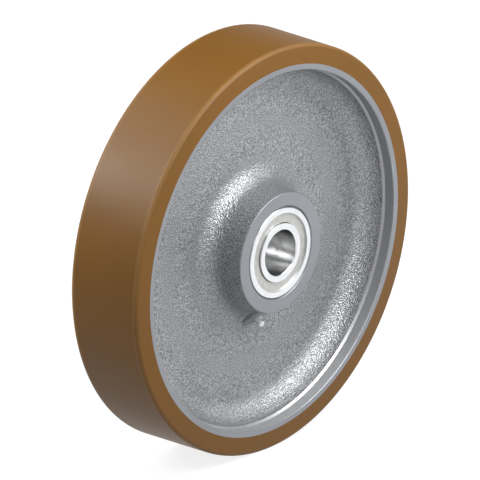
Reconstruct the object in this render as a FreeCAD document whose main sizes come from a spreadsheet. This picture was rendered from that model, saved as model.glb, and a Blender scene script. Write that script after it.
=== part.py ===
import FreeCAD, Part
import os
import Sketcher

# Heavy duty wheel: a polyurethane tread moulded on an iron casting that runs on two ball bearings.
# Millimetres. The axle lies along Y, the front of the wheel faces -Y and the grease nipple points down, -Z.

doc = FreeCAD.newDocument("heavy_duty_wheel")
sizes = doc.addObject("Spreadsheet::Sheet", "Sizes")
listed = []


def size(alias, number):
    """Puts one driving size in the sheet and gives back the name that expressions use for it."""
    listed.append(alias)
    row = len(listed)
    sizes.set(f"A{row}", alias)
    sizes.set(f"B{row}", str(number))
    sizes.setAlias(f"B{row}", alias)
    return "Sizes." + alias


# Tread
tread_radius = size("tread_radius", 180)
tread_thickness = size("tread_thickness", 16.8)
tread_shoulder_drop = size("tread_shoulder_drop", 1.4)
tread_shoulder_round = size("tread_shoulder_round", 3)

# Rim of the casting
rim_width = size("rim_width", 75)
rim_lip = size("rim_lip", 5.2)
rim_band_depth = size("rim_band_depth", 9.5)
rim_ledge = size("rim_ledge", 1.9)
rim_wall_draft = size("rim_wall_draft", 3)
rim_fillet = size("rim_fillet", 20)
machined_edge = size("machined_edge", 0.8)

# Web
web_thickness_at_rim = size("web_thickness_at_rim", 16)
web_thickness_at_hub = size("web_thickness_at_hub", 21)

# Hub
hub_length = size("hub_length", 89.6)
hub_radius = size("hub_radius", 52.9)
hub_flare = size("hub_flare", 4.4)
hub_fillet = size("hub_fillet", 18)
seat_shoulder = size("seat_shoulder", 4)
seat_clearance = size("seat_clearance", 0.02)
seat_chamfer = size("seat_chamfer", 1.6)

# Ball bearings, one in each end of the hub
bearing_outer_radius = size("bearing_outer_radius", 40)
bearing_bore_radius = size("bearing_bore_radius", 20)
bearing_width = size("bearing_width", 18)
bearing_proud = size("bearing_proud", 0.2)
ring_corner = size("ring_corner", 1.1)
inner_ring_gap = size("inner_ring_gap", 4.2)
outer_ring_gap = size("outer_ring_gap", 3.9)
recess_step = size("recess_step", 1)
ball_radius = size("ball_radius", 5.5)
ball_count = size("ball_count", 9)
track_relief = size("track_relief", 0.22)
ball_play = size("ball_play", 0.05)
shield_thickness = size("shield_thickness", 0.5)
shield_step = size("shield_step", 0.2)
shield_gap = size("shield_gap", 0.5)
shield_clearance = size("shield_clearance", 0.03)
shield_space = size("shield_space", 0.2)
cage_sheet = size("cage_sheet", 0.6)
cage_width = size("cage_width", 5)
pocket_clearance = size("pocket_clearance", 0.15)
rivet_radius = size("rivet_radius", 0.8)
rivet_head_radius = size("rivet_head_radius", 1.5)
rivet_head_height = size("rivet_head_height", 0.6)
rivet_clearance = size("rivet_clearance", 0.03)

# Spacer tube between the inner rings
spacer_wall = size("spacer_wall", 3.8)
spacer_clearance = size("spacer_clearance", 0.2)

# Grease nipple and its boss in the corner between hub and web
boss_width = size("boss_width", 21)
boss_draft = size("boss_draft", 8)
boss_fillet = size("boss_fillet", 3)
seat_from_hub = size("seat_from_hub", 9.1)
seat_from_web = size("seat_from_web", 9.1)
nipple_tilt = size("nipple_tilt", 40)
thread_radius = size("thread_radius", 3)
thread_length = size("thread_length", 5.5)
thread_clearance = size("thread_clearance", 0.03)
thread_runout = size("thread_runout", 1.5)
passage_radius = size("passage_radius", 2)
hexagon_width = size("hexagon_width", 7)
hexagon_height = size("hexagon_height", 2.6)
neck_radius = size("neck_radius", 2.3)
neck_height = size("neck_height", 1)
head_radius = size("head_radius", 3.25)
head_band = size("head_band", 0.9)
head_height = size("head_height", 4.2)
tip_radius = size("tip_radius", 1.7)
mouth_radius = size("mouth_radius", 0.8)
mouth_depth = size("mouth_depth", 1)
chamber_clearance = size("chamber_clearance", 0.2)
chamber_lip = size("chamber_lip", 0.7)
valve_ball_radius = size("valve_ball_radius", 1.3)
valve_play = size("valve_play", 0.05)
spring_wire_radius = size("spring_wire_radius", 0.2)
spring_radius = size("spring_radius", 0.9)
spring_turns = size("spring_turns", 7)

# Places that several pieces share
bearing_face = f"({hub_length} / 2 + {bearing_proud})"
bearing_half = f"({bearing_width} / 2)"
bearing_middle = f"({bearing_face} - {bearing_half})"
seat_end = f"({bearing_face} - {bearing_width})"
seat_radius = f"({bearing_outer_radius} + {seat_clearance})"
hub_cavity_radius = f"({bearing_outer_radius} - {seat_shoulder})"
pitch_radius = f"(({bearing_outer_radius} + {bearing_bore_radius}) / 2)"
inner_shoulder = f"({pitch_radius} - {inner_ring_gap})"
outer_shoulder = f"({pitch_radius} + {outer_ring_gap})"
recess_radius = f"({outer_shoulder} + {recess_step})"
track_radius = f"({ball_radius} + {track_relief})"
cage_inside = f"({pitch_radius} - {cage_width} / 2)"
cage_outside = f"({pitch_radius} + {cage_width} / 2)"
pocket_radius = f"({ball_radius} + {pocket_clearance})"
cup_radius = f"({pocket_radius} + {cage_sheet})"
recess_floor = f"({cup_radius} + {shield_space})"
rivet_turn = f"(180 / {ball_count})"

doc.recompute()


def number(expression):
    return float(sizes.evalExpression(expression))


def origin(body, role):
    return [feature for feature in body.Origin.OriginFeatures if feature.Role == role][0]


def new_body(label):
    body = doc.addObject("PartDesign::Body", label)
    body.Label = label
    return body


def new_sketch(body, name, role):
    sketch = body.newObject("Sketcher::SketchObject", name)
    sketch.AttachmentSupport = [(origin(body, role), "")]
    sketch.MapMode = "FlatFace"
    return sketch


def tie(sketch, kind, expression, *points):
    """Adds one dimension to a sketch and binds it to the sheet."""
    index = sketch.addConstraint(Sketcher.Constraint(kind, *points, number(expression)))
    sketch.setExpression(f"Constraints[{index}]", expression)


def polygon(body, name, corners, role="XY_Plane"):
    """A closed outline whose corners are each tied to the sheet."""
    sketch = new_sketch(body, name, role)
    places = [FreeCAD.Vector(number(x), number(y), 0) for x, y in corners]
    count = len(places)
    for i in range(count):
        sketch.addGeometry(Part.LineSegment(places[i], places[(i + 1) % count]))
    for i, (x, y) in enumerate(corners):
        sketch.addConstraint(Sketcher.Constraint("Coincident", i, 2, (i + 1) % count, 1))
        tie(sketch, "DistanceX", x, -1, 1, i, 1)
        tie(sketch, "DistanceY", y, -1, 1, i, 1)
    return sketch


def circle(body, name, x, y, radius, role="XY_Plane"):
    sketch = new_sketch(body, name, role)
    centre = FreeCAD.Vector(number(x), number(y), 0)
    sketch.addGeometry(Part.Circle(centre, FreeCAD.Vector(0, 0, 1), number(radius)))
    tie(sketch, "DistanceX", x, -1, 1, 0, 3)
    tie(sketch, "DistanceY", y, -1, 1, 0, 3)
    tie(sketch, "Radius", radius, 0)
    return sketch


def finish_feature(body, feature):
    body.Tip = feature
    doc.recompute()
    return feature


def turn(body, sketch, kind="Revolution"):
    """Turns an outline about the Y axis, as solid (Revolution) or as a cut (Groove)."""
    feature = body.newObject("PartDesign::" + kind, sketch.Name + "_turned")
    feature.Profile = (sketch, [""])
    feature.ReferenceAxis = (sketch, ["V_Axis"])
    feature.Angle = 360
    return finish_feature(body, feature)


def primitive(body, kind, name, values, place, rotation=FreeCAD.Rotation()):
    """A sphere, cylinder or prism with its sizes and its place tied to the sheet."""
    feature = body.newObject("PartDesign::" + kind, name)
    feature.Placement = FreeCAD.Placement(FreeCAD.Vector(), rotation)
    for key, expression in values.items():
        feature.setExpression(key, expression)
    for axis, expression in zip("xyz", place):
        feature.setExpression("Placement.Base." + axis, expression)
    return finish_feature(body, feature)


def repeat(body, originals, name):
    """Repeats features round the axle, once for each ball."""
    feature = body.newObject("PartDesign::PolarPattern", name)
    feature.Originals = originals
    feature.Axis = (origin(body, "Y_Axis"), [""])
    feature.Angle = 360
    feature.setExpression("Occurrences", ball_count)
    return finish_feature(body, feature)


def circles_at(shape, places):
    """Names of the round edges about the axle with the given radius and height."""
    names = []
    for i, edge in enumerate(shape.Edges):
        if not isinstance(edge.Curve, Part.Circle):
            continue
        for radius, height in places:
            same_radius = abs(edge.Curve.Radius - number(radius)) < 1e-4
            if same_radius and abs(edge.Curve.Center.y - number(height)) < 1e-4:
                names.append(f"Edge{i + 1}")
    return names


def round_off(body, name, radius, places):
    base = body.Tip
    feature = body.newObject("PartDesign::Fillet", name)
    feature.Base = (base, circles_at(base.Shape, places))
    feature.setExpression("Radius", radius)
    return finish_feature(body, feature)


def both_sides(corners):
    """Completes the +Y half of an outline with its mirror image."""
    return corners + [(x, f"-({y})") for x, y in reversed(corners)]


ALONG_Y = FreeCAD.Rotation(FreeCAD.Vector(1, 0, 0), -90)
made = []

# Wheel centre: one casting with rim, web and hub, turned at the rim, the hub faces and the bearing seats.
rim_half = f"({rim_width} / 2)"
rim_radius = f"({tread_radius} - {tread_thickness})"
hub_half = f"({hub_length} / 2)"
web_half_at_rim = f"({web_thickness_at_rim} / 2)"
web_half_at_hub = f"({web_thickness_at_hub} / 2)"
rim_bore = f"({rim_radius} - {rim_lip})"
band_end = f"({rim_half} - {rim_band_depth})"
rim_wall_top = f"({rim_bore} - {rim_ledge})"
rim_wall_foot = f"({rim_wall_top} - {rim_wall_draft})"
hub_foot = f"({hub_radius} + {hub_flare})"

wheel_centre = new_body("wheel_centre")
casting_outline = polygon(wheel_centre, "casting_outline", both_sides([
    (hub_cavity_radius, seat_end),
    (seat_radius, seat_end),
    (seat_radius, f"{hub_half} - {seat_chamfer}"),
    (f"{seat_radius} + {seat_chamfer}", hub_half),
    (hub_radius, hub_half),
    (hub_foot, web_half_at_hub),
    (rim_wall_foot, web_half_at_rim),
    (rim_wall_top, f"{band_end} - {rim_ledge}"),
    (rim_bore, band_end),
    (rim_bore, rim_half),
    (rim_radius, rim_half),
]))
turn(wheel_centre, casting_outline)
wall_height = f"({band_end} - {rim_ledge} - {web_half_at_rim})"
wall_slant = f"sqrt({wall_height} * {wall_height} + {rim_wall_draft} * {rim_wall_draft})"
fullest_fillet = f"({wall_slant} * {wall_height} / ({wall_slant} - {rim_wall_draft}))"
for name, radius, rim in [
    ("rim_fillets", f"min({rim_fillet}; 0.95 * {fullest_fillet})", (rim_wall_foot, web_half_at_rim)),
    ("hub_fillets", hub_fillet, (hub_foot, web_half_at_hub)),
    ("rim_edges", machined_edge, (rim_bore, rim_half)),
    ("hub_edges", machined_edge, (hub_radius, hub_half)),
]:
    round_off(wheel_centre, name, radius, [rim, (rim[0], f"-({rim[1]})")])

# Boss for the grease nipple: a drafted rib in the corner between hub and web, with a sloping top that runs out
# on the web.
lean_y = f"sin({nipple_tilt})"
lean_z = f"cos({nipple_tilt})"
seat_reach = f"({hub_foot} + {seat_from_hub})"
seat_height = f"({web_half_at_hub} + {seat_from_web})"
lug_root = f"(({hub_cavity_radius} + {hub_radius}) / 2)"
lug_half = f"({boss_width} / 2 + {seat_height} * tan({boss_draft}))"
lug_end = f"({seat_reach} + {seat_height} * {lean_y} / {lean_z} + {boss_width})"
slope_top = f"({seat_height} + ({seat_reach} - {hub_radius}) * {lean_z} / {lean_y})"
lug_top = f"min({slope_top}; {hub_half} - 2 * {machined_edge})"
slope_reach = f"({lug_end} + {lug_top})"


def on_slope(along, out):
    """A point of the Y-Z plane, measured along the boss's sloping top and out from it."""
    y = f"-({seat_height}) - ({along}) * {lean_z} - ({out}) * {lean_y}"
    z = f"-({seat_reach}) + ({along}) * {lean_y} - ({out}) * {lean_z}"
    return y, z


nipple_boss = new_body("nipple_boss")
lug_outline = polygon(nipple_boss, "lug_outline", [
    (f"-({lug_half})", f"-({lug_root})"),
    (f"-({lug_half})", f"-({lug_end})"),
    (lug_half, f"-({lug_end})"),
    (lug_half, f"-({lug_root})"),
], "XZ_Plane")
lug = nipple_boss.newObject("PartDesign::Pad", "lug")
lug.Profile = (lug_outline, [""])
lug.setExpression("Length", lug_top)
lug.setExpression("TaperAngle", f"-({boss_draft})")
finish_feature(nipple_boss, lug)
slope_outline = polygon(nipple_boss, "slope_outline", [
    on_slope(slope_reach, "0"),
    on_slope(f"-({slope_reach})", "0"),
    on_slope(f"-({slope_reach})", slope_reach),
    on_slope(slope_reach, slope_reach),
], "YZ_Plane")
slope = nipple_boss.newObject("PartDesign::Pocket", "slope")
slope.Profile = (slope_outline, [""])
slope.Type = "ThroughAll"
slope.Midplane = True
finish_feature(nipple_boss, slope)

SEAT = FreeCAD.Vector(0, -number(seat_height), -number(seat_reach))
OUT_OF_SEAT = FreeCAD.Vector(0, -number(lean_y), -number(lean_z))


def is_ridge(edge):
    """True for an edge between the boss's sloping top and one of its sides."""
    ends = [vertex.Point for vertex in edge.Vertexes]
    on_top = all(abs((end - SEAT).dot(OUT_OF_SEAT)) < 1e-4 for end in ends)
    return on_top and abs(ends[0].x - ends[1].x) < abs(ends[0].y - ends[1].y)


ridge_rounds = nipple_boss.newObject("PartDesign::Fillet", "ridge_rounds")
ridge = [f"Edge{i + 1}" for i, edge in enumerate(slope.Shape.Edges) if is_ridge(edge)]
ridge_rounds.Base = (slope, ridge)
ridge_rounds.setExpression("Radius", boss_fillet)
finish_feature(nipple_boss, ridge_rounds)

meeting_skins = [nipple_boss.Shape.Shells[0], wheel_centre.Shape.Shells[0]]
boss_join = wheel_centre.newObject("PartDesign::Boolean", "boss_join")
boss_join.Type = "Fuse"
boss_join.Refine = False
boss_join.setObjects([nipple_boss])
finish_feature(wheel_centre, boss_join)


def is_seam(edge):
    """True for an edge along which the boss meets the hub or the web."""
    spots = [Part.Vertex(point) for point in edge.discretize(5)[1:4]]
    return all(spot.distToShape(skin)[0] < 1e-3 for spot in spots for skin in meeting_skins)


boss_fillets = wheel_centre.newObject("PartDesign::Fillet", "boss_fillets")
seam = [f"Edge{i + 1}" for i, edge in enumerate(boss_join.Shape.Edges) if is_seam(edge)]
boss_fillets.Base = (boss_join, seam)
boss_fillets.setExpression("Radius", boss_fillet)
finish_feature(wheel_centre, boss_fillets)

# Tapped hole for the nipple and the drilled passage from it to the space between the bearings.
INTO_HUB = FreeCAD.Rotation(FreeCAD.Vector(-1, 0, 0), 1)
hole_radius = f"({thread_radius} + {thread_clearance})"
hole_depth = f"({thread_length} + {thread_runout})"
primitive(
    wheel_centre, "SubtractiveCylinder", "tapped_hole",
    {
        "Radius": hole_radius,
        "Height": f"{hole_depth} + {thread_radius}",
        "Placement.Rotation.Angle": nipple_tilt,
    },
    ("0", *on_slope("0", thread_radius)), INTO_HUB,
)
primitive(
    wheel_centre, "SubtractiveCylinder", "grease_passage",
    {
        "Radius": passage_radius,
        "Height": f"({seat_reach} - {hub_cavity_radius} + 2 * {passage_radius}) / {lean_z}",
        "Placement.Rotation.Angle": nipple_tilt,
    },
    ("0", *on_slope("0", "0")), INTO_HUB,
)
made.append(wheel_centre)

# Tread: polyurethane moulded and bonded on the turned outside of the rim, with sides that fall away to the
# shoulders.
tread = new_body("tread")
shoulder = f"({rim_half} - {tread_shoulder_drop})"
tread_outline = polygon(tread, "tread_outline", both_sides([
    (rim_radius, rim_half),
    (tread_radius, shoulder),
]))
turn(tread, tread_outline)
shoulder_edges = [(tread_radius, shoulder), (tread_radius, f"-({shoulder})")]
round_off(tread, "shoulders", tread_shoulder_round, shoulder_edges)
made.append(tread)

# Spacer tube: a plain steel tube on the axle that the two inner rings are clamped against.
spacer_bore = f"({bearing_bore_radius} + {spacer_clearance})"
spacer_tube = new_body("spacer_tube")
tube_outline = polygon(spacer_tube, "tube_outline", both_sides([
    (spacer_bore, seat_end),
    (f"{spacer_bore} + {spacer_wall}", seat_end),
]))
turn(spacer_tube, tube_outline)
made.append(spacer_tube)


def bearing_body(end, name, facing, middle):
    """A piece of one bearing, drawn about the bearing's own centre with its outer side towards -Y."""
    body = new_body(f"{end}_{name}")
    body.Placement = FreeCAD.Placement(FreeCAD.Vector(), facing)
    body.setExpression("Placement.Base.y", middle)
    made.append(body)
    return body


def outer_ring(body):
    outline = polygon(body, "ring_outline", both_sides([
        (outer_shoulder, recess_floor),
        (recess_radius, recess_floor),
        (recess_radius, bearing_half),
        (bearing_outer_radius, bearing_half),
    ]))
    turn(body, outline)
    corner = (bearing_outer_radius, bearing_half)
    round_off(body, "corners", ring_corner, [corner, (corner[0], f"-({corner[1]})")])
    track_centre = f"{pitch_radius} + {ball_radius} + {ball_play} - {track_radius}"
    turn(body, circle(body, "track", track_centre, "0", track_radius), "Groove")


def inner_ring(body):
    outline = polygon(body, "ring_outline", both_sides([
        (bearing_bore_radius, bearing_half),
        (inner_shoulder, bearing_half),
    ]))
    turn(body, outline)
    corner = (bearing_bore_radius, bearing_half)
    round_off(body, "corners", ring_corner, [corner, (corner[0], f"-({corner[1]})")])
    track_centre = f"{pitch_radius} - {ball_radius} - {ball_play} + {track_radius}"
    turn(body, circle(body, "track", track_centre, "0", track_radius), "Groove")


def shield(body):
    """A pressed steel washer that sits in the recess of the outer ring and runs clear of the inner ring."""
    inside = f"{inner_shoulder} + {shield_gap}"
    outside = f"{recess_radius} - {shield_clearance}"
    bend_start = f"{outer_shoulder} - 2 * {shield_step}"
    bend_end = f"{outer_shoulder} - {shield_step}"
    raised = f"{recess_floor} + {shield_step}"
    outline = polygon(body, "shield_outline", [
        (inside, f"-({raised})"),
        (bend_start, f"-({raised})"),
        (bend_end, f"-({recess_floor})"),
        (outside, f"-({recess_floor})"),
        (outside, f"-({recess_floor} + {shield_thickness})"),
        (bend_end, f"-({recess_floor} + {shield_thickness})"),
        (bend_start, f"-({raised} + {shield_thickness})"),
        (inside, f"-({raised} + {shield_thickness})"),
    ])
    turn(body, outline)


def balls(body):
    ball = primitive(body, "AdditiveSphere", "ball", {"Radius": ball_radius}, (pitch_radius, "0", "0"))
    repeat(body, [ball], "ball_ring")


def rivet_place(height):
    x = f"{pitch_radius} * cos({rivet_turn})"
    z = f"{pitch_radius} * sin({rivet_turn})"
    return x, height, z


def cage_half(body):
    """One pressed half of the ribbon cage: flat tabs in the plane of the balls and a cup over each ball."""
    clear = f"({cup_radius} + {cage_sheet})"
    tabs = polygon(body, "tabs", [
        (cage_inside, "0"), (cage_outside, "0"), (cage_outside, cage_sheet), (cage_inside, cage_sheet)
    ])
    turn(body, tabs)
    ball_place = (pitch_radius, "0", "0")
    cup = primitive(body, "AdditiveSphere", "cup", {"Radius": cup_radius}, ball_place)
    repeat(body, [cup], "cups")
    trim = polygon(body, "trim", [
        (f"{pitch_radius} - {clear}", clear),
        (cage_inside, clear),
        (cage_inside, "0"),
        (cage_outside, "0"),
        (cage_outside, clear),
        (f"{pitch_radius} + {clear}", clear),
        (f"{pitch_radius} + {clear}", f"-({clear})"),
        (f"{pitch_radius} - {clear}", f"-({clear})"),
    ])
    turn(body, trim, "Groove")
    pocket = primitive(body, "SubtractiveSphere", "pocket", {"Radius": pocket_radius}, ball_place)
    repeat(body, [pocket], "pockets")
    hole_sizes = {"Radius": f"{rivet_radius} + {rivet_clearance}", "Height": f"4 * {cage_sheet}"}
    hole = primitive(
        body, "SubtractiveCylinder", "rivet_hole", hole_sizes, rivet_place(f"-2 * {cage_sheet}"), ALONG_Y
    )
    repeat(body, [hole], "rivet_holes")


def rivets(body):
    low = f"-({cage_sheet} + {rivet_head_height})"
    shank_sizes = {"Radius": rivet_radius, "Height": f"2 * ({cage_sheet} + {rivet_head_height})"}
    head_sizes = {"Radius": rivet_head_radius, "Height": rivet_head_height}
    for name, values, height in [
        ("shank", shank_sizes, low), ("front_head", head_sizes, low), ("back_head", head_sizes, cage_sheet)
    ]:
        cylinder = primitive(body, "AdditiveCylinder", name, values, rivet_place(height), ALONG_Y)
        repeat(body, [cylinder], name + "s")


# Two sealed ball bearings, pressed into the hub from each side. Each has its shield on the outside of the
# wheel.
STRAIGHT = FreeCAD.Rotation()
ABOUT = FreeCAD.Rotation(FreeCAD.Vector(0, 0, 1), 180)
TURNED_OVER = FreeCAD.Rotation(FreeCAD.Vector(1, 0, 0), 180)
for end, facing, middle in [("front", STRAIGHT, f"-({bearing_middle})"), ("rear", ABOUT, bearing_middle)]:
    outer_ring(bearing_body(end, "outer_ring", facing, middle))
    inner_ring(bearing_body(end, "inner_ring", facing, middle))
    shield(bearing_body(end, "shield", facing, middle))
    balls(bearing_body(end, "balls", facing, middle))
    cage_half(bearing_body(end, "cage_outer", facing * TURNED_OVER, middle))
    cage_half(bearing_body(end, "cage_inner", facing, middle))
    rivets(bearing_body(end, "cage_rivets", facing, middle))


def nipple_body(label):
    """A piece of the grease nipple, drawn with its axis along Y and its seat on the boss at the origin."""
    body = new_body(label)
    body.Placement = FreeCAD.Placement(FreeCAD.Vector(), FreeCAD.Rotation(FreeCAD.Vector(-1, 0, 0), 1))
    seat_y, seat_z = on_slope("0", "0")
    body.setExpression("Placement.Base.y", seat_y)
    body.setExpression("Placement.Base.z", seat_z)
    body.setExpression("Placement.Rotation.Angle", f"90 + {nipple_tilt}")
    made.append(body)
    return body


# Grease nipple: turned steel with a hexagon, a head for the grease gun and a spring-loaded ball behind its
# mouth.
neck_top = f"({hexagon_height} + {neck_height})"
head_widest = f"({neck_top} + {head_radius} - {neck_radius})"
nipple_top = f"({neck_top} + {head_height})"
valve_seat = f"({nipple_top} - {mouth_depth})"
chamber_radius = f"({valve_ball_radius} + {chamber_clearance})"
chamber_top = f"({valve_seat} - {chamber_radius} + {mouth_radius})"
chamber_floor = f"({chamber_lip} - {thread_length})"
valve_ball_height = f"({valve_seat} + {mouth_radius} - sqrt(2) * ({valve_ball_radius} + {valve_play}))"

nipple = nipple_body("grease_nipple_body")
nipple_outline = polygon(nipple, "nipple_outline", [
    ("0", f"-({thread_length})"),
    (thread_radius, f"-({thread_length})"),
    (thread_radius, "0"),
    (f"{hexagon_width} / 2", "0"),
    (f"{hexagon_width} / 2", hexagon_height),
    (neck_radius, hexagon_height),
    (neck_radius, neck_top),
    (head_radius, head_widest),
    (head_radius, f"{head_widest} + {head_band}"),
    (tip_radius, nipple_top),
    ("0", nipple_top),
])
turn(nipple, nipple_outline)
hexagon_sizes = {"Circumradius": f"{hexagon_width} / sqrt(3)", "Height": hexagon_height}
primitive(nipple, "AdditivePrism", "hexagon", hexagon_sizes, ("0", "0", "0"), ALONG_Y)
bore_outline = polygon(nipple, "bore_outline", [
    ("0", f"-({thread_length})"),
    (mouth_radius, f"-({thread_length})"),
    (mouth_radius, chamber_floor),
    (chamber_radius, chamber_floor),
    (chamber_radius, chamber_top),
    (mouth_radius, valve_seat),
    (mouth_radius, nipple_top),
    ("0", nipple_top),
])
turn(nipple, bore_outline, "Groove")

valve_ball = nipple_body("grease_nipple_ball")
primitive(valve_ball, "AdditiveSphere", "ball", {"Radius": valve_ball_radius}, ("0", valve_ball_height, "0"))

spring = nipple_body("grease_nipple_spring")
coil_reach = f"({valve_ball_radius} + {spring_wire_radius} + {valve_play})"
coil_top = f"({valve_ball_height} - sqrt({coil_reach} ^ 2 - {spring_radius} ^ 2))"
coil_start = f"({chamber_floor} + {spring_wire_radius} + {valve_play})"
wire = circle(spring, "wire", spring_radius, coil_start, spring_wire_radius)
coil = spring.newObject("PartDesign::AdditiveHelix", "coil")
coil.Profile = (wire, [""])
coil.ReferenceAxis = (wire, ["V_Axis"])
coil.Mode = "height-turns-angle"
coil.setExpression("Height", f"{coil_top} - {coil_start}")
coil.setExpression("Turns", spring_turns)
finish_feature(spring, coil)

# Every piece has to be sound before it is written.
doc.recompute()
for item in doc.Objects:
    if "Invalid" in item.State or "Error" in item.State:
        raise RuntimeError(f"{item.Label} did not build: {item.State}")
os.makedirs("parts", exist_ok=True)
for body in made:
    if body.Shape.isNull() or not body.Shape.isValid() or not body.Shape.Solids:
        raise RuntimeError(f"{body.Label} has no sound solid")
    body.Shape.exportStep(f"parts/{body.Label}.step")
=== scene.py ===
import math

import bpy
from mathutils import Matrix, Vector


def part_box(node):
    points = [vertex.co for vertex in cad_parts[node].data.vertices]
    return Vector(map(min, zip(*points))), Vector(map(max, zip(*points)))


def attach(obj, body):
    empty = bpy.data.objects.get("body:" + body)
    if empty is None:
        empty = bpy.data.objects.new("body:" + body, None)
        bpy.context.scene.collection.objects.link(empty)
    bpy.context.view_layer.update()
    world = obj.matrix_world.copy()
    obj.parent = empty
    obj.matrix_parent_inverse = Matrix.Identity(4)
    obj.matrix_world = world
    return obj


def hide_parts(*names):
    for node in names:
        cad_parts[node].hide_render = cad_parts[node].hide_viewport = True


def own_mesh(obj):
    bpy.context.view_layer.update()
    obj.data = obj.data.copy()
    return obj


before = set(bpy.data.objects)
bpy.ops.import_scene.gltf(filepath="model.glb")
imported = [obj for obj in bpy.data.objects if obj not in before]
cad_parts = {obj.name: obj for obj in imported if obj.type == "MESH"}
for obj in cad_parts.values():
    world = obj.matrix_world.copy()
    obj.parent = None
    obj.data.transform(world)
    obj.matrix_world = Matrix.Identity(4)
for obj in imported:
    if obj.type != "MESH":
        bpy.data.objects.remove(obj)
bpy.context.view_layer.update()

# Wheel centre: rim, web and hub in one iron casting, poured in sand and sprayed with silver paint.
# The rim's edge and inner band, the hub's ends and the bearing seats are turned to size and smooth.
# The band bored inside the rim is painted in a brighter iron than the other turned faces, a painted
# reflection of the bright fillet it faces.
rim_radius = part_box("wheel_centre")[1][0]
rim_half_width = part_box("tread")[1][1]
rim_face_skin = 0.0004
band_depth = 0.0095
band_ledge = 0.0019
band_start = rim_half_width - band_depth - band_ledge
band_reach = 0.02
hub_half_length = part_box("wheel_centre")[1][1]
hub_edge_round = 0.0008
bearing_seat_radius = 0.0405
paint_edge_at_ledge = 0.0002
paint_edge_at_reach = 0.0005
paint_edge_at_seat = 0.0003
silver_paint = (0.452, 0.462, 0.477, 1)
silver_paint_worn = (0.200, 0.205, 0.212, 1)
turned_iron = (0.285, 0.298, 0.322, 1)
turned_iron_dull = (0.258, 0.270, 0.292, 1)
band_iron_with_painted_reflection = (0.385, 0.389, 0.394, 1)
paint_tone_spread = (0.36, 0.64)
paint_tone_from_grain = 0.88
paint_roughness = (0.42, 0.36)
iron_roughness = (0.38, 0.31)
paint_metallic = 0.70
iron_metallic = 0.5
swell_height = 0.0002
clump_height = 0.0004
grain_height = 0.0006
lathe_pitch = 0.00045
lathe_depth = 0.000004
tool_wander = 9.0
noise_spread = (0.3, 0.7)


def add(tree, kind, inputs, **settings):
    """Adds one shader node. Sockets among the inputs are wired in, and other values are set on it."""
    made = tree.nodes.new("ShaderNode" + kind)
    for name, value in settings.items():
        setattr(made, name, value)
    for name, value in inputs.items():
        if isinstance(value, bpy.types.NodeSocket):
            tree.links.new(value, made.inputs[name])
        else:
            made.inputs[name].default_value = value
    return made


def math_of(tree, operation, *values):
    """One step of arithmetic on numbers or on patterns over the surface."""
    return add(tree, "Math", dict(enumerate(values)), operation=operation).outputs[0]


def ramp_of(tree, value, low, high, start=0.0, end=1.0):
    """Turns a value that runs from low to high into one that runs from start to end, and stops there."""
    spread = add(tree, "MapRange", {
        "Value": value, "From Min": low, "From Max": high, "To Min": start, "To Max": end,
    })
    return spread.outputs["Result"]


def spread_of(tree, noise, start=0.0, end=1.0):
    """Turns a noise, which mostly keeps within noise_spread, into one that runs from start to end."""
    return ramp_of(tree, noise, *noise_spread, start, end)


def blend_of(tree, share, first, second):
    """Goes from the first colour to the second as share goes from 0 to 1."""
    mixed = add(tree, "Mix", {0: share, 6: first, 7: second}, data_type="RGBA")
    return mixed.outputs[2]


def speckle_of(tree, place, scale, detail, roughness):
    """A noise pattern with about scale bumps to the metre."""
    noise = add(tree, "TexNoise", {
        "Vector": place, "Scale": scale, "Detail": detail, "Roughness": roughness,
    })
    return noise.outputs["Fac"]


def relief_of(tree, height, depth, under=None):
    """Raises the surface by the height pattern, depth metres at most, on top of the relief under it."""
    bump = add(tree, "Bump", {"Height": height, "Distance": depth, "Strength": 1.0})
    if under is not None:
        tree.links.new(under, bump.inputs["Normal"])
    return bump.outputs["Normal"]


def place_on(tree):
    """Where a point of the piece lies, in metres."""
    return add(tree, "TexCoord", {}).outputs["Object"]


def scaled(tree, place, factors):
    """The place with its x, y and z multiplied by the three factors."""
    return add(tree, "VectorMath", {0: place, 1: factors}, operation="MULTIPLY").outputs[0]


def length_of(tree, place):
    """How far a place lies from the wheel's centre, in the directions that aren't scaled to 0."""
    return add(tree, "VectorMath", {0: place}, operation="LENGTH").outputs["Value"]


def round_the_axle(tree):
    """Where a point of the piece lies: its place, its distance from the axle's line and along it."""
    place = place_on(tree)
    radius = length_of(tree, scaled(tree, place, (1, 0, 1)))
    along = add(tree, "SeparateXYZ", {0: place}).outputs["Y"]
    return place, radius, along


def tool_marks(tree, radius, along, pitch, uneven):
    """Fine lines that a lathe tool leaves: rings on an end face and hoops on a cylinder."""
    travel = math_of(tree, "ADD", radius, along)
    turns = math_of(tree, "MULTIPLY", travel, 2 * math.pi / pitch)
    wander = math_of(tree, "MULTIPLY", uneven, tool_wander)
    return math_of(tree, "SINE", math_of(tree, "ADD", turns, wander))


def new_finish(name, **constants):
    """A new material with the values that are the same all over set on its shader."""
    finish = bpy.data.materials.new(name)
    finish.use_nodes = True
    shader = finish.node_tree.nodes["Principled BSDF"]
    for socket, value in constants.items():
        shader.inputs[socket.replace("_", " ")].default_value = value
    return finish, finish.node_tree, shader


def wire(tree, shader, colour, roughness, relief):
    """Wires the patterns that every finish of the wheel has to its shader."""
    tree.links.new(colour, shader.inputs["Base Color"])
    tree.links.new(roughness, shader.inputs["Roughness"])
    tree.links.new(relief, shader.inputs["Normal"])


def dress(names, finish):
    """Gives the finish to pieces of the frame."""
    for name in names:
        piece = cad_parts[name]
        piece.data.materials.clear()
        piece.data.materials.append(finish)


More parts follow.
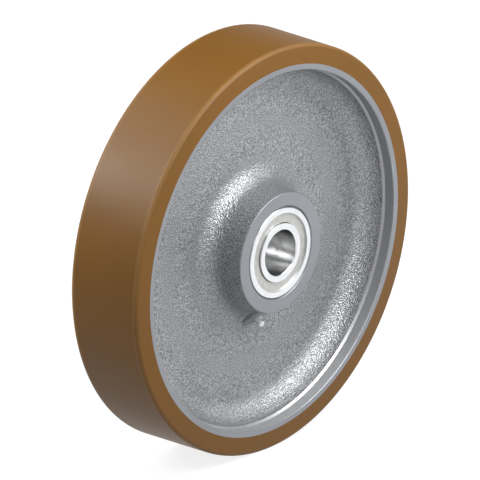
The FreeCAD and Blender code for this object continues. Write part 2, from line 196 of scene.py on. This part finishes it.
casting, tree, shader = new_finish("silver_painted_casting", Specular_IOR_Level=0.5)
place, radius, along = round_the_axle(tree)
from_middle = math_of(tree, "ABSOLUTE", along)
past_ledge = ramp_of(tree, from_middle, band_start - paint_edge_at_ledge, band_start + paint_edge_at_ledge)
reach_start = rim_radius - band_reach
near_rim = ramp_of(tree, radius, reach_start, reach_start + paint_edge_at_reach)
on_rim = math_of(tree, "MULTIPLY", past_ledge, near_rim)
hub_round_start = hub_half_length - hub_edge_round
on_hub_end = ramp_of(tree, from_middle, hub_round_start, hub_round_start + 0.5 * hub_edge_round)
in_seat = ramp_of(tree, radius, bearing_seat_radius + paint_edge_at_seat, bearing_seat_radius)
turned = math_of(tree, "MAXIMUM", on_rim, math_of(tree, "MAXIMUM", on_hub_end, in_seat))
cast = math_of(tree, "SUBTRACT", 1.0, turned)
rim_face_start = rim_half_width - rim_face_skin
behind_rim_face = ramp_of(tree, from_middle, rim_face_start, rim_face_start - rim_face_skin)
on_reflecting_band = math_of(tree, "MULTIPLY", on_rim, behind_rim_face)

sand_grain = speckle_of(tree, place, scale=980.0, detail=0.0, roughness=0.5)
sand_clumps = speckle_of(tree, place, scale=330.0, detail=0.0, roughness=0.5)
mould_swell = speckle_of(tree, place, scale=34.0, detail=2.0, roughness=0.5)
patches = speckle_of(tree, place, scale=16.0, detail=3.0, roughness=0.6)
lathe_lines = tool_marks(tree, radius, along, lathe_pitch, patches)

tone_of_grain = math_of(tree, "MULTIPLY", sand_grain, paint_tone_from_grain)
tone_of_patches = math_of(tree, "MULTIPLY", patches, 1.0 - paint_tone_from_grain)
paint_tone = ramp_of(tree, math_of(tree, "ADD", tone_of_grain, tone_of_patches), *paint_tone_spread)
paint_colour = blend_of(tree, paint_tone, silver_paint_worn, silver_paint)
skimmed_iron = blend_of(tree, spread_of(tree, patches), turned_iron_dull, turned_iron)
# Painted reflection: the band inside the rim gets a brighter iron than the rest of the turned iron.
iron_colour = blend_of(tree, on_reflecting_band, skimmed_iron, band_iron_with_painted_reflection)
casting_colour = blend_of(tree, turned, paint_colour, iron_colour)

paint_gloss = spread_of(tree, sand_grain, *paint_roughness)
iron_gloss = spread_of(tree, patches, *iron_roughness)
gloss_difference = math_of(tree, "SUBTRACT", iron_gloss, paint_gloss)
casting_gloss = math_of(tree, "ADD", paint_gloss, math_of(tree, "MULTIPLY", gloss_difference, turned))

swell = relief_of(tree, math_of(tree, "MULTIPLY", mould_swell, cast), swell_height)
clumps = relief_of(tree, math_of(tree, "MULTIPLY", sand_clumps, cast), clump_height, swell)
grain = relief_of(tree, math_of(tree, "MULTIPLY", sand_grain, cast), grain_height, clumps)
casting_relief = relief_of(tree, math_of(tree, "MULTIPLY", lathe_lines, turned), lathe_depth, grain)

wire(tree, shader, casting_colour, casting_gloss, casting_relief)
casting_metal = ramp_of(tree, turned, 0.0, 1.0, paint_metallic, iron_metallic)
tree.links.new(casting_metal, shader.inputs["Metallic"])
dress(["wheel_centre"], casting)

# Tread: amber polyurethane cast round the rim in a heated mould and bonded to it, with a satin skin.
# Its running face is skimmed on a lathe, and its shoulders are rounded, with a paler band painted along
# them as a highlight.
tread_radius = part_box("tread")[1][0]
highlight_from_face = (0.0062, 0.0035)
highlight_fade_at_face = (0.0022, 0.0012)
highlight_from_top = (0.004, 0.0012)
highlight_share = (0.35, 0.75)
amber = (0.180, 0.0808, 0.0138, 1)
amber_deep = (0.156, 0.0702, 0.0119, 1)
amber_painted_highlight = (0.300, 0.166, 0.060, 1)
skin_roughness = (0.42, 0.50)
skin_depth = 0.00003
skim_pitch = 0.0007
skim_depth = 0.000004

polyurethane, tree, shader = new_finish("amber_polyurethane", Specular_IOR_Level=0.25, IOR=1.5)
place, radius, along = round_the_axle(tree)
from_face = math_of(tree, "SUBTRACT", rim_half_width, math_of(tree, "ABSOLUTE", along))
from_top = math_of(tree, "SUBTRACT", tread_radius, radius)
clouding = speckle_of(tree, place, scale=11.0, detail=3.0, roughness=0.55)
skin = speckle_of(tree, place, scale=900.0, detail=2.0, roughness=0.6)
skim_lines = tool_marks(tree, radius, along, skim_pitch, clouding)

near_face = ramp_of(tree, from_face, *highlight_from_face)
short_of_face = ramp_of(tree, from_face, *highlight_fade_at_face, 1.0, 0.0)
near_top = ramp_of(tree, from_top, *highlight_from_top)
on_shoulder = math_of(tree, "MULTIPLY", math_of(tree, "MULTIPLY", near_face, short_of_face), near_top)
# Painted highlight: a paler amber band along both shoulders, broken up by the clouding.
shoulder_highlight = math_of(tree, "MULTIPLY", on_shoulder, spread_of(tree, clouding, *highlight_share))
body_colour = blend_of(tree, spread_of(tree, clouding), amber_deep, amber)
tread_colour = blend_of(tree, shoulder_highlight, body_colour, amber_painted_highlight)
tread_relief = relief_of(tree, skim_lines, skim_depth, relief_of(tree, skin, skin_depth))
wire(tree, shader, tread_colour, spread_of(tree, clouding, *skin_roughness), tread_relief)
dress(["tread"], polyurethane)

# Spacer tube: a length of drawn steel tube on the axle, sawn and faced square.
# The inner rings of the two bearings are clamped against its ends, so it shows only inside the bore.
tube_steel = (0.70, 0.705, 0.71, 1)
tube_steel_oiled = (0.58, 0.58, 0.575, 1)
tube_roughness = (0.22, 0.18)
streak_stretch = (1, 0.04, 1)
streak_spread = (0.35, 0.7)
streak_depth = 0.00001

drawn_steel, tree, shader = new_finish("drawn_tube_steel", Metallic=1.0)
place = place_on(tree)
along_the_tube = scaled(tree, place, streak_stretch)
draw_streaks = speckle_of(tree, along_the_tube, scale=700.0, detail=2.0, roughness=0.5)
oil = speckle_of(tree, place, scale=60.0, detail=3.0, roughness=0.6)
tube_colour = blend_of(tree, ramp_of(tree, draw_streaks, *streak_spread), tube_steel, tube_steel_oiled)
tube_relief = relief_of(tree, draw_streaks, streak_depth)
wire(tree, shader, tube_colour, spread_of(tree, oil, *tube_roughness), tube_relief)
dress(["spacer_tube"], drawn_steel)

# Bearing rings: through-hardened steel, turned, then ground on the faces, the bore and the outside.
# The outer rings are pressed into the hub's seats and the inner rings sit on the axle.
axle_bore_radius = 0.020
bore_edge = (0.0008, 0.0002)
ground_steel = (0.79, 0.805, 0.83, 1)
ground_steel_shade = (0.745, 0.76, 0.78, 1)
bore_steel_darker = (0.72, 0.725, 0.73, 1)
ring_roughness = (0.22, 0.18)
grind_pitch = 0.00022
grind_depth = 0.0000015

ring_steel, tree, shader = new_finish("ground_ring_steel", Metallic=1.0)
place, radius, along = round_the_axle(tree)
haze = speckle_of(tree, place, scale=70.0, detail=3.0, roughness=0.55)
grind_lines = tool_marks(tree, radius, along, grind_pitch, haze)
ground_faces = blend_of(tree, spread_of(tree, haze), ground_steel_shade, ground_steel)
from_bore = math_of(tree, "SUBTRACT", radius, axle_bore_radius)
# The ring's bore is coloured a little darker than its ground faces.
ring_colour = blend_of(tree, ramp_of(tree, from_bore, *bore_edge), ground_faces, bore_steel_darker)
ring_relief = relief_of(tree, grind_lines, grind_depth)
wire(tree, shader, ring_colour, spread_of(tree, haze, *ring_roughness), ring_relief)
dress(["front_outer_ring", "rear_outer_ring", "front_inner_ring", "rear_inner_ring"], ring_steel)

# Balls: nine lapped chrome-steel balls in each bearing, held apart by the cage and thinly greased.
# The small ball that closes the grease nipple has the same finish.
ball_steel = (0.78, 0.79, 0.80, 1)
ball_steel_greased = (0.60, 0.59, 0.55, 1)


def mottled_metal(name, metallic, scale, colours, colour_spread, roughness, roughness_spread, depth):
    """A finish whose colour, roughness and fine relief all follow one mottled pattern."""
    finish, tree, shader = new_finish(name, Metallic=metallic)
    mottle = speckle_of(tree, place_on(tree), scale, detail=3.0, roughness=0.6)
    colour = blend_of(tree, ramp_of(tree, mottle, *colour_spread), *colours)
    gloss = ramp_of(tree, mottle, *roughness_spread, *roughness)
    wire(tree, shader, colour, gloss, relief_of(tree, mottle, depth))
    return finish


lapped_steel = mottled_metal(
    "lapped_ball_steel", metallic=1.0, scale=180.0,
    colours=(ball_steel, ball_steel_greased), colour_spread=(0.45, 0.7),
    roughness=(0.06, 0.2), roughness_spread=(0.4, 0.7), depth=0.00001,
)
dress(["front_balls", "rear_balls", "grease_nipple_ball"], lapped_steel)

# Cages: two halves pressed from steel strip with a cup over each ball, joined by a rivet in every gap.
# The strip is tumbled after pressing to take off its burrs, which leaves it dull.
strip_steel = (0.50, 0.50, 0.49, 1)
strip_steel_dull = (0.36, 0.355, 0.34, 1)

pressed_strip = mottled_metal(
    "pressed_cage_strip", metallic=1.0, scale=260.0,
    colours=(strip_steel_dull, strip_steel), colour_spread=(0.35, 0.65),
    roughness=(0.48, 0.34), roughness_spread=noise_spread, depth=0.00003,
)
for end in ("front", "rear"):
    dress([f"{end}_cage_outer", f"{end}_cage_inner", f"{end}_cage_rivets"], pressed_strip)

# Shields: thin washers pressed from zinc-coated sheet, snapped into a recess of the outer ring.
# The sheet is matt and slightly warm in tone beside the ground rings.
zinc_sheet = (0.60, 0.60, 0.58, 1)
zinc_sheet_dull = (0.52, 0.52, 0.50, 1)

sheet_zinc = mottled_metal(
    "pressed_shield_sheet", metallic=0.8, scale=220.0,
    colours=(zinc_sheet_dull, zinc_sheet), colour_spread=(0.35, 0.65),
    roughness=(0.56, 0.46), roughness_spread=noise_spread, depth=0.00002,
)
dress(["front_shield", "rear_shield"], sheet_zinc)

# Grease nipple: turned from steel bar with a hexagon and zinc plated.
# It is screwed into the sloping boss under the hub, and a small spring in its bore holds the ball against
# the mouth.
zinc_plate = (0.80, 0.805, 0.81, 1)
zinc_plate_shade = (0.66, 0.665, 0.67, 1)

plated_steel = mottled_metal(
    "zinc_plated_nipple", metallic=1.0, scale=420.0,
    colours=(zinc_plate_shade, zinc_plate), colour_spread=(0.35, 0.65),
    roughness=(0.34, 0.2), roughness_spread=noise_spread, depth=0.00002,
)
dress(["grease_nipple_body"], plated_steel)

wound_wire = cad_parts["grease_nipple_spring"]
coil_spring = bpy.data.objects.new("coil_spring", wound_wire.data.copy())
coil_spring.data.materials.clear()
coil_spring.data.materials.append(plated_steel)
bpy.context.scene.collection.objects.link(coil_spring)
coil_spring.matrix_world = wound_wire.matrix_world.copy()
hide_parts("grease_nipple_spring")
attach(coil_spring, "wheel")
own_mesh(coil_spring)

# Studio floor: a pale sheet that the wheel stands on, turned up far away all round as a backdrop.
# The camera and bright metal see it nearly white, and it keeps the wheel's soft shadow.
# It is dimmer towards the front right and the front left, where the wheel's faces mirror it.
floor_radius = 5.0
floor_height = -tread_radius
turn_up = 0.3
turn_up_middle = (0.2, 0.06)
wall_height = 1.2
floor_steps = 96
floor_tone = (0.22, 0.22, 0.22, 1)
lift_near = 0.85
lift_far = 0.92
lift_distances = (0.15, 0.8)
front_right = (0.64, -0.77, 0)
front_right_fade = (0.55, 1.0)
lift_towards_right = 0.62
front_left = (-0.77, -0.64, 0)
front_left_fade = (0.10, 0.26)
lift_towards_left = 0.60

floor_rings = [
    (floor_radius, 0.0),
    (floor_radius + turn_up_middle[0], turn_up_middle[1]),
    (floor_radius + turn_up, turn_up),
    (floor_radius + turn_up, wall_height),
]
corners = [(0.0, 0.0, floor_height)]
for ring, rise in floor_rings:
    for step in range(floor_steps):
        turn = 2 * math.pi * step / floor_steps
        corners.append((ring * math.cos(turn), ring * math.sin(turn), floor_height + rise))
faces = [(0, 1 + step, 1 + (step + 1) % floor_steps) for step in range(floor_steps)]
for ring in range(len(floor_rings) - 1):
    inner = 1 + ring * floor_steps
    outer = inner + floor_steps
    for step in range(floor_steps):
        after = (step + 1) % floor_steps
        faces.append((inner + step, outer + step, outer + after, inner + after))
floor_mesh = bpy.data.meshes.new("studio_floor")
floor_mesh.from_pydata(corners, [], faces)
floor = bpy.data.objects.new("studio_floor", floor_mesh)
bpy.context.scene.collection.objects.link(floor)


def dimmed_towards(tree, place, direction, fade, dimmest):
    """Falls from 1 to the dimmest share as the place lies further out in the direction."""
    outwards = add(tree, "VectorMath", {0: place, 1: direction}, operation="DOT_PRODUCT").outputs["Value"]
    return ramp_of(tree, outwards, *fade, 1.0, dimmest)


pale_floor, tree, shader = new_finish(
    "pale_floor", Base_Color=floor_tone, Roughness=0.9, Specular_IOR_Level=0.0,
)
rays = add(tree, "LightPath", {})
mirrored = math_of(tree, "MAXIMUM", rays.outputs["Is Glossy Ray"], rays.outputs["Is Transmission Ray"])
seen = math_of(tree, "MAXIMUM", rays.outputs["Is Camera Ray"], mirrored)
place = place_on(tree)
from_wheel = length_of(tree, scaled(tree, place, (1, 1, 0)))
right_share = dimmed_towards(tree, place, front_right, front_right_fade, lift_towards_right)
left_share = dimmed_towards(tree, place, front_left, front_left_fade, lift_towards_left)
front_share = math_of(tree, "MINIMUM", right_share, left_share)
# Painted shade: the glow is a little weaker close to the wheel, round its foot.
lift_outwards = ramp_of(tree, from_wheel, *lift_distances, lift_near, lift_far)
lift = math_of(tree, "MULTIPLY", lift_outwards, front_share)
shader.inputs["Emission Color"].default_value = (1, 1, 1, 1)
tree.links.new(math_of(tree, "MULTIPLY", seen, lift), shader.inputs["Emission Strength"])
floor_mesh.materials.append(pale_floor)

# Studio light: a dim grey room and six soft panels: a low and a high one in front, one overhead, one at
# the left, and a high and a low one behind. The front ones shape the web and the hub, and the rear ones
# put the sheen on the tread.
room_level = 0.08
room = bpy.data.worlds.new("studio_room")
room.use_nodes = True
bpy.context.scene.world = room
backdrop = room.node_tree.nodes["Background"]
backdrop.inputs["Color"].default_value = (1, 1, 1, 1)
backdrop.inputs["Strength"].default_value = room_level


def face_the_wheel(thing, azimuth, elevation, distance):
    """Stands a lamp or camera so that it faces the wheel, with the azimuth from its front to its right."""
    turn = math.radians(azimuth)
    rise = math.radians(elevation)
    towards = Vector((math.sin(turn) * math.cos(rise), -math.cos(turn) * math.cos(rise), math.sin(rise)))
    thing.location = towards * distance
    thing.rotation_euler = towards.to_track_quat("Z", "Y").to_euler()
    bpy.context.scene.collection.objects.link(thing)


def soft_panel(name, azimuth, elevation, distance, width, height, power):
    """A light panel that faces the wheel, with its sides in metres and its power in watts."""
    light = bpy.data.lights.new(name, "AREA")
    light.shape = "RECTANGLE"
    light.size = width
    light.size_y = height
    light.energy = power
    face_the_wheel(bpy.data.objects.new(name, light), azimuth, elevation, distance)


soft_panel("low_front_panel", azimuth=21, elevation=22, distance=1.5, width=2.2, height=0.35, power=6.0)
soft_panel("high_front_panel", azimuth=20, elevation=44, distance=1.2, width=1.0, height=0.6, power=18.0)
soft_panel("overhead_panel", azimuth=0, elevation=70, distance=0.7, width=0.6, height=0.5, power=0.6)
soft_panel("left_panel", azimuth=-60, elevation=30, distance=1.2, width=0.6, height=0.5, power=1.6)
soft_panel("high_rear_panel", azimuth=204, elevation=49, distance=1.0, width=0.5, height=0.4, power=3.0)
soft_panel("low_rear_panel", azimuth=226, elevation=32, distance=1.0, width=0.3, height=0.3, power=6.7)

# Camera: at the photograph's angle, from the wheel's left and a little above.
# It sees the wheel without perspective, with a narrow margin round it.
view_azimuth = -50
view_elevation = 22
view_width = 0.4062
camera_distance = 2.0
camera_data = bpy.data.cameras.new("camera")
camera_data.type = "ORTHO"
camera_data.ortho_scale = view_width
camera = bpy.data.objects.new("camera", camera_data)
face_the_wheel(camera, view_azimuth, view_elevation, camera_distance)
bpy.context.scene.camera = camera
bpy.context.scene.view_settings.view_transform = "Standard"
